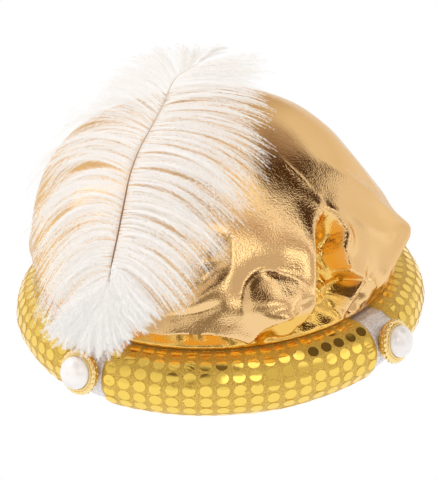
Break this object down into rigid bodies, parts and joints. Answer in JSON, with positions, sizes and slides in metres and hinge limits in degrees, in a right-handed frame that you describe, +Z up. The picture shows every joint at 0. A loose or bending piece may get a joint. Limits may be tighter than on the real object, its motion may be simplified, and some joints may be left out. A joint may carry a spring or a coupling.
{
  "type": "sultan turban",
  "caption": "Costume turban: padded dotted-gold roll with silver bands, hollow pleated gold crown, pearl brooches and a white plume lying back over the crown.",
  "frame": {"origin": "on the surface that the roll rests on, under the middle of the hat's outline", "axes": "+Z up through the crown, the wearer faces -Y, +X to the wearer's left"},
  "size_m": [0.285, 0.288, 0.1806],
  "materials": {
    "dotted_gold_cloth": "padded cloth set with round mirror-bright gold foil dots",
    "silver_cloth": "silver glitter weave",
    "gilt_metal": "polished cast gilt with a rope edge",
    "pearl": "pearly gloss",
    "gold_lame": "metallic coated knit with a fine grain",
    "feather": "soft white ostrich barbs on a beige quill"
  },
  "bodies": {
    "root": {"roll": "dotted_gold_cloth", "band_front": "silver_cloth", "band_left": "silver_cloth", "band_back": "silver_cloth", "band_right": "silver_cloth", "bezel_front": "gilt_metal", "bezel_left": "gilt_metal", "bezel_right": "gilt_metal", "pearl_front": "pearl", "pearl_left": "pearl", "pearl_right": "pearl", "crown": "gold_lame", "plume": "feather"}
  },
  "joints": []
}
